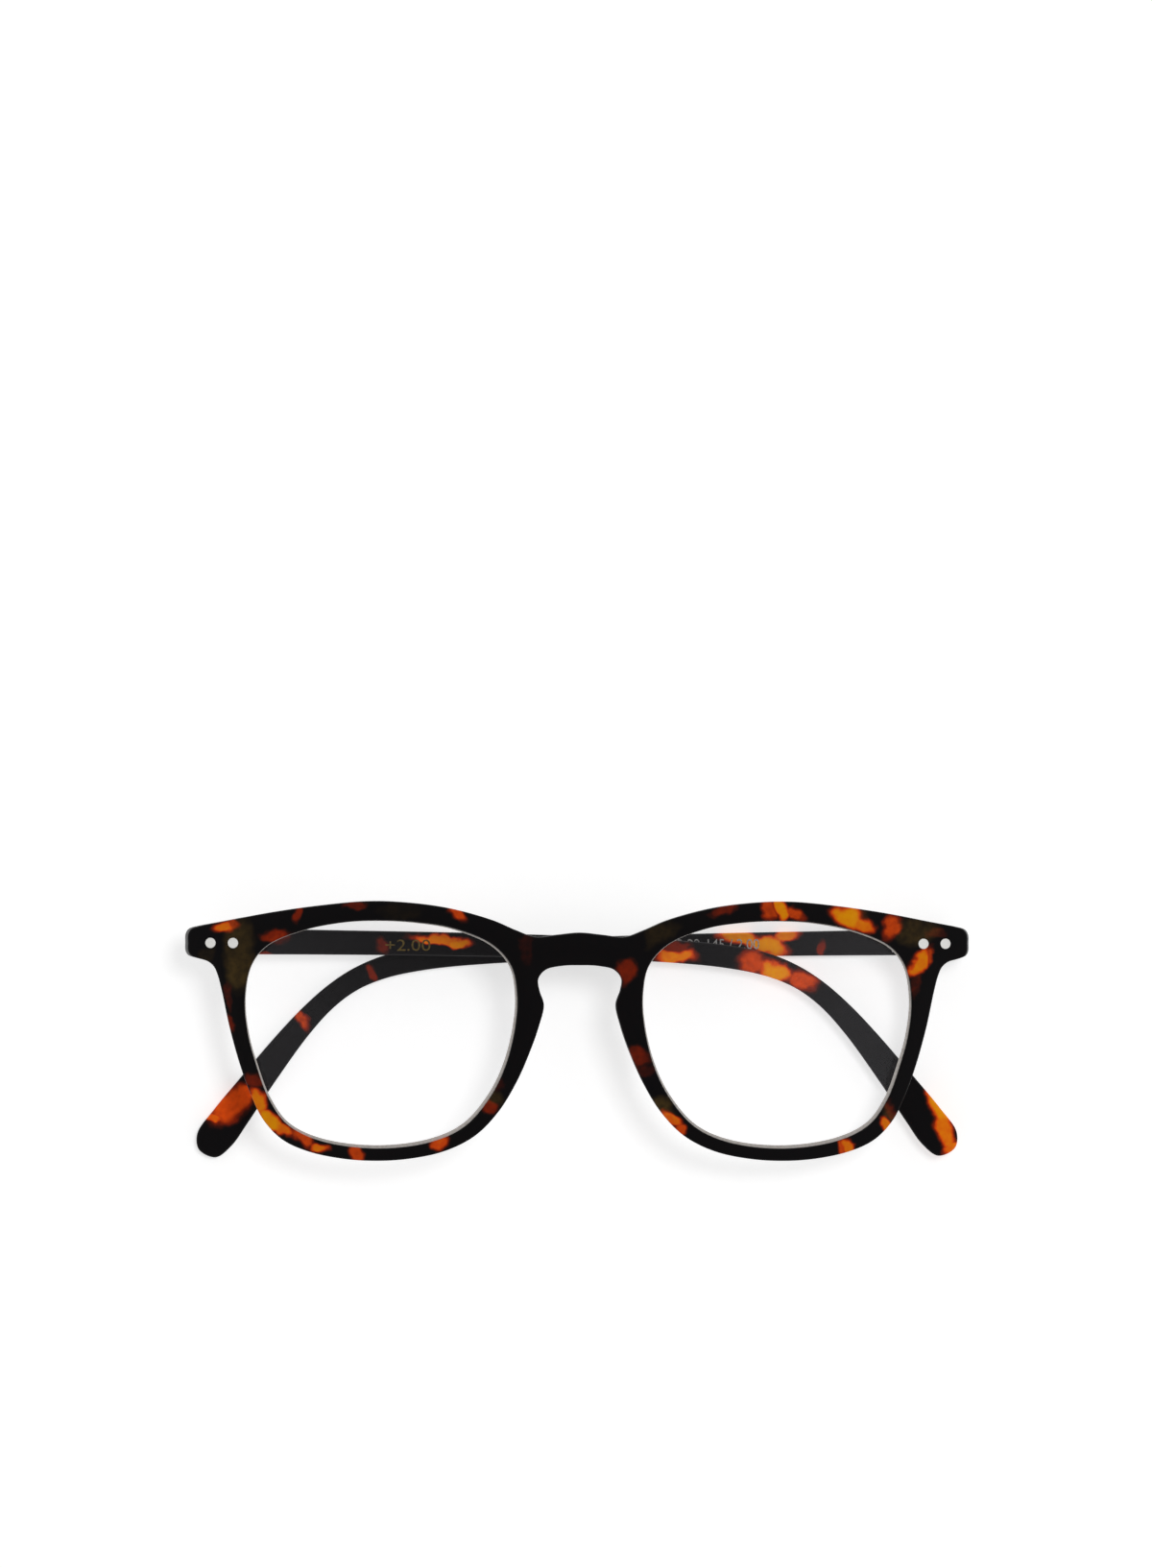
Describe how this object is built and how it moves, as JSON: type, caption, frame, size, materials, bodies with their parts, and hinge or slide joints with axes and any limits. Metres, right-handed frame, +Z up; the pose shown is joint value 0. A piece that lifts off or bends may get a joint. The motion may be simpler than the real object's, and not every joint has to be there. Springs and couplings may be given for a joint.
{
  "type": "folding reading glasses",
  "caption": "Reading glasses with a riveted tortoiseshell plastic front, keyhole bridge, moulded nose pads, clear lenses and folding temples on sprung hinges.",
  "frame": {"origin": "bottom centre of the box around the folded glasses, lying front up", "axes": "+X from the wearer's right lens to the left lens, +Y towards the brow edge, +Z up from the surface they lie on, towards the viewer of the front"},
  "size_m": [0.1404, 0.0464, 0.0228],
  "materials": {
    "tortoise": "soft-touch matte, near black with translucent amber, orange and red patches",
    "lens": "clear optical plastic, polished and coated",
    "hinge_plate": "plated, fine satin",
    "rivet": "satin, ground flush with a slightly raised rim",
    "steel": "machined, bright"
  },
  "bodies": {
    "front": {"front_frame": "tortoise", "lens_right": "lens", "lens_left": "lens", "hinge_front_plate_right": "hinge_plate", "hinge_front_plate_left": "hinge_plate", "rivet_outer_right": "rivet", "rivet_inner_right": "rivet", "rivet_outer_left": "rivet", "rivet_inner_left": "rivet", "hinge_screw_right": "steel", "hinge_screw_left": "steel"},
    "right_slider": {"hinge_slider_right": "steel", "hinge_spring_collar_right": "steel"},
    "right_arm": {"temple_right": "tortoise", "hinge_case_right": "hinge_plate", "hinge_spring_right": "steel"},
    "left_slider": {"hinge_slider_left": "steel", "hinge_spring_collar_left": "steel"},
    "left_arm": {"temple_left": "tortoise", "hinge_case_left": "hinge_plate", "hinge_spring_left": "steel"}
  },
  "joints": [
    {"name": "right_fold", "type": "hinge", "parent": "front", "child": "right_slider", "pos_m": [-0.06459, 0.01573, 0.00958], "axis": [0, 1, 0], "range_deg": [0, 96]},
    {"name": "left_fold", "type": "hinge", "parent": "front", "child": "left_slider", "pos_m": [0.06431, 0.01573, 0.0044], "axis": [0, -1, 0], "range_deg": [0, 92.5]},
    {"name": "right_flex", "type": "slide", "parent": "right_slider", "child": "right_arm", "axis": [0.9998, 0.0012, -0.0192], "range_m": [0, 0.0008], "stiffness_N_per_m": 1000, "springref_m": -0.003, "deforming": ["hinge_spring_right"]},
    {"name": "left_flex", "type": "slide", "parent": "left_slider", "child": "left_arm", "axis": [-1, -0.0038, 0], "range_m": [0, 0.0008], "stiffness_N_per_m": 1000, "springref_m": -0.003, "deforming": ["hinge_spring_left"]}
  ]
}
